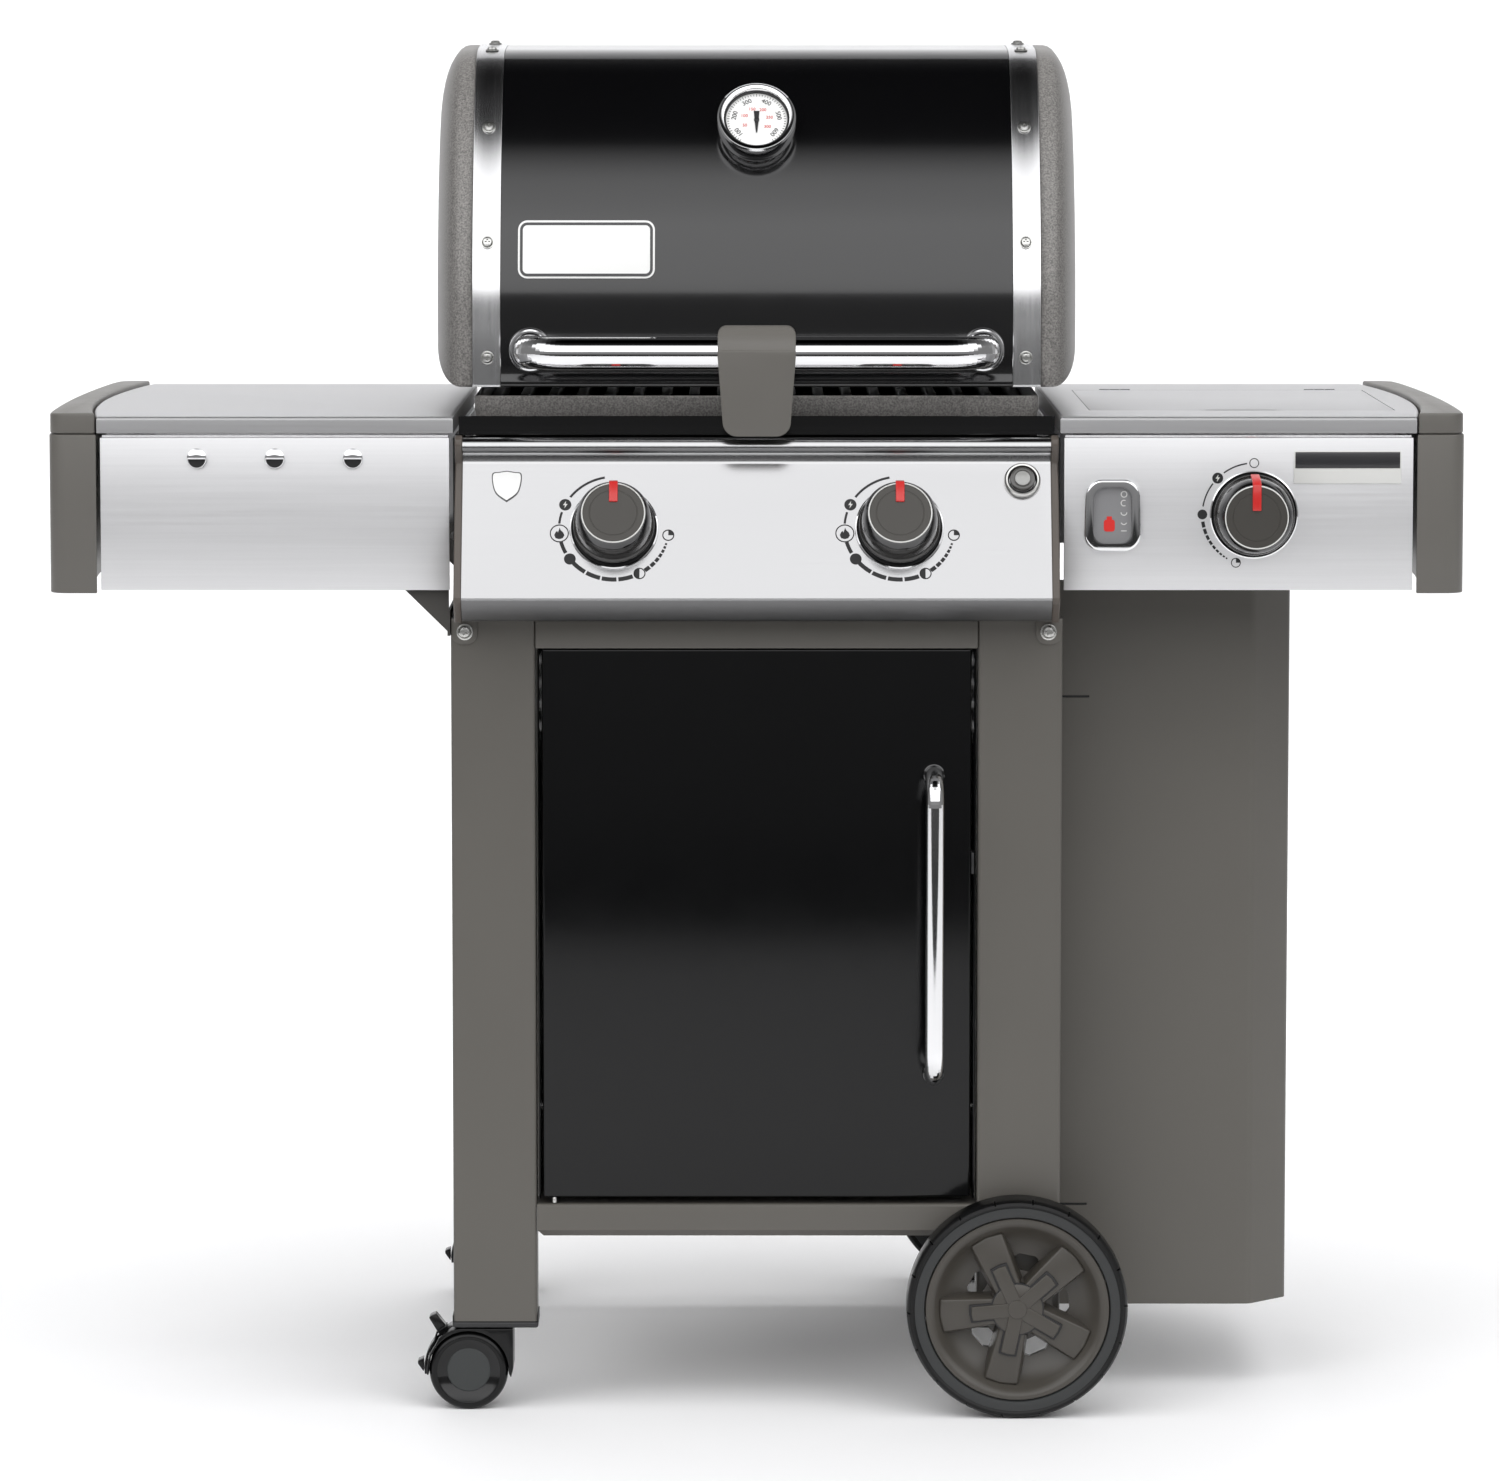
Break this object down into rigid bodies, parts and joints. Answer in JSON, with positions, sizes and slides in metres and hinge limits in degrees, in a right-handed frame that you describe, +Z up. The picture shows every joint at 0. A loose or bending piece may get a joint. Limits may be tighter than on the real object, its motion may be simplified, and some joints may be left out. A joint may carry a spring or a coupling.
{
  "type": "gas barbecue grill",
  "caption": "Gas barbecue grill on a wheeled cart with a hinged lid, fold-down shelf, side burner shelf, cabinet door and tank shroud.",
  "frame": {"origin": "middle of the footprint, on the ground", "axes": "+Z up, +Y to the back, +X to the right seen from the front"},
  "size_m": [1.2986, 0.7616, 1.2596],
  "materials": {
    "taupe": "satin powder coat",
    "taupe_plastic": "fine-grained moulded plastic",
    "speckled_casting": "speckled textured coat on a casting",
    "black_enamel": "glossy porcelain enamel",
    "satin_black": "satin powder coat",
    "brushed_stainless": "brushed along its length",
    "polished_stainless": "bright finish",
    "chrome": "polished",
    "cast_iron": "matt enamel",
    "galvanised": "zinc plated",
    "brass": "plain",
    "black_plastic": "moulded",
    "tread": "moulded tread"
  },
  "bodies": {
    "cart": {"front_left_leg": "taupe", "front_right_leg": "taupe", "rear_left_leg": "taupe", "rear_right_leg": "taupe", "front_rail": "taupe", "bottom_shelf": "taupe", "left_side_panel": "satin_black", "right_side_panel": "satin_black", "back_panel": "satin_black", "tank_shroud": "taupe", "firebox": "speckled_casting", "grease_tray": "galvanised", "left_burner": "polished_stainless", "right_burner": "polished_stainless", "left_heat_tent": "polished_stainless", "right_heat_tent": "polished_stainless", "left_grate": "cast_iron", "right_grate": "cast_iron", "control_panel": "brushed_stainless", "gas_manifold": "galvanised", "side_burner_valve": "galvanised", "shelf_bracket": "black_plastic", "right_shelf_top": "brushed_stainless", "right_shelf_cap": "taupe_plastic", "right_apron": "brushed_stainless", "side_burner_head": "brass", "side_burner_grate": "cast_iron", "tank_gauge": "chrome", "wheel_axle": "galvanised"},
    "lid": {"lid_shell": "black_enamel", "left_lid_trim": "polished_stainless", "right_lid_trim": "polished_stainless", "left_lid_end": "speckled_casting", "right_lid_end": "speckled_casting", "lid_handle": "chrome", "lid_grip": "taupe_plastic", "thermometer": "chrome"},
    "door": {"door": "satin_black", "door_handle": "chrome"},
    "left_shelf": {"left_shelf_top": "brushed_stainless", "left_shelf_cap": "taupe_plastic", "left_apron": "brushed_stainless"},
    "side_burner_lid": {"side_burner_lid": "brushed_stainless"},
    "left_stem": {"left_valve_stem": "galvanised"},
    "left_knob": {"left_knob": "taupe_plastic"},
    "right_stem": {"right_valve_stem": "galvanised"},
    "right_knob": {"right_knob": "taupe_plastic"},
    "side_stem": {"side_burner_valve_stem": "galvanised"},
    "side_knob": {"side_burner_knob": "taupe_plastic"},
    "igniter_button": {"igniter_button": "black_plastic"},
    "front_caster": {"front_caster_fork": "black_plastic"},
    "front_caster_wheel": {"front_caster_wheel": "black_plastic"},
    "front_brake_pedal": {"front_brake_pedal": "black_plastic"},
    "rear_caster": {"rear_caster_fork": "black_plastic"},
    "rear_caster_wheel": {"rear_caster_wheel": "black_plastic"},
    "rear_brake_pedal": {"rear_brake_pedal": "black_plastic"},
    "front_wheel": {"front_tyre": "tread", "front_wheel_hub": "taupe_plastic"},
    "rear_wheel": {"rear_tyre": "tread", "rear_wheel_hub": "taupe_plastic"}
  },
  "joints": [
    {"name": "lid_hinge", "type": "hinge", "parent": "cart", "child": "lid", "pos_m": [0, 0.2838, 0.9465], "axis": [-1, 0, 0], "range_deg": [0, 85]},
    {"name": "door_hinge", "type": "hinge", "parent": "cart", "child": "door", "pos_m": [-0.19, -0.2917, 0.45], "axis": [0, 0, -1], "range_deg": [0, 110]},
    {"name": "left_shelf_fold", "type": "hinge", "parent": "cart", "child": "left_shelf", "pos_m": [-0.3, -0.0322, 0.772], "axis": [0, -1, 0], "range_deg": [0, 90]},
    {"name": "side_burner_lid_hinge", "type": "hinge", "parent": "cart", "child": "side_burner_lid", "pos_m": [0.45, 0.1355, 0.9226], "axis": [-1, 0, 0], "range_deg": [0, 100]},
    {"name": "left_knob_push", "type": "slide", "parent": "cart", "child": "left_stem", "axis": [0, 0.9063, -0.4226], "range_m": [0, 0.005], "stiffness_N_per_m": 600},
    {"name": "left_knob_turn", "type": "hinge", "parent": "left_stem", "child": "left_knob", "pos_m": [-0.13, -0.33225, 0.822], "axis": [0, -0.9063, 0.4226], "range_deg": [0, 265]},
    {"name": "right_knob_push", "type": "slide", "parent": "cart", "child": "right_stem", "axis": [0, 0.9063, -0.4226], "range_m": [0, 0.005], "stiffness_N_per_m": 600},
    {"name": "right_knob_turn", "type": "hinge", "parent": "right_stem", "child": "right_knob", "pos_m": [0.13, -0.33225, 0.822], "axis": [0, -0.9063, 0.4226], "range_deg": [0, 265]},
    {"name": "side_knob_push", "type": "slide", "parent": "cart", "child": "side_stem", "axis": [0, 1, 0], "range_m": [0, 0.005], "stiffness_N_per_m": 600},
    {"name": "side_knob_turn", "type": "hinge", "parent": "side_stem", "child": "side_knob", "pos_m": [0.4538, -0.3172, 0.8333], "axis": [0, -1, 0], "range_deg": [0, 160]},
    {"name": "igniter_push", "type": "slide", "parent": "cart", "child": "igniter_button", "axis": [0, 0.9063, -0.4226], "range_m": [0, 0.003], "stiffness_N_per_m": 300},
    {"name": "front_caster_swivel", "type": "hinge", "parent": "cart", "child": "front_caster", "pos_m": [-0.24195, -0.2772, 0.07], "axis": [0, 0, 1], "continuous": true},
    {"name": "front_caster_spin", "type": "hinge", "parent": "front_caster", "child": "front_caster_wheel", "pos_m": [-0.26695, -0.2772, 0.0365], "axis": [0, 1, 0], "continuous": true},
    {"name": "front_brake", "type": "hinge", "parent": "front_caster", "child": "front_brake_pedal", "pos_m": [-0.3045, -0.2772, 0.058], "axis": [0, -1, 0], "range_deg": [0, 8]},
    {"name": "rear_caster_swivel", "type": "hinge", "parent": "cart", "child": "rear_caster", "pos_m": [-0.24195, 0.2958, 0.07], "axis": [0, 0, 1], "continuous": true},
    {"name": "rear_caster_spin", "type": "hinge", "parent": "rear_caster", "child": "rear_caster_wheel", "pos_m": [-0.26695, 0.2958, 0.0365], "axis": [0, 1, 0], "continuous": true},
    {"name": "rear_brake", "type": "hinge", "parent": "rear_caster", "child": "rear_brake_pedal", "pos_m": [-0.3045, 0.2958, 0.058], "axis": [0, -1, 0], "range_deg": [0, 8]},
    {"name": "front_wheel_spin", "type": "hinge", "parent": "cart", "child": "front_wheel", "pos_m": [0.24, -0.3252, 0.1019], "axis": [0, 1, 0], "continuous": true},
    {"name": "rear_wheel_spin", "type": "hinge", "parent": "cart", "child": "rear_wheel", "pos_m": [0.24, 0.3608, 0.1019], "axis": [0, 1, 0], "continuous": true}
  ]
}
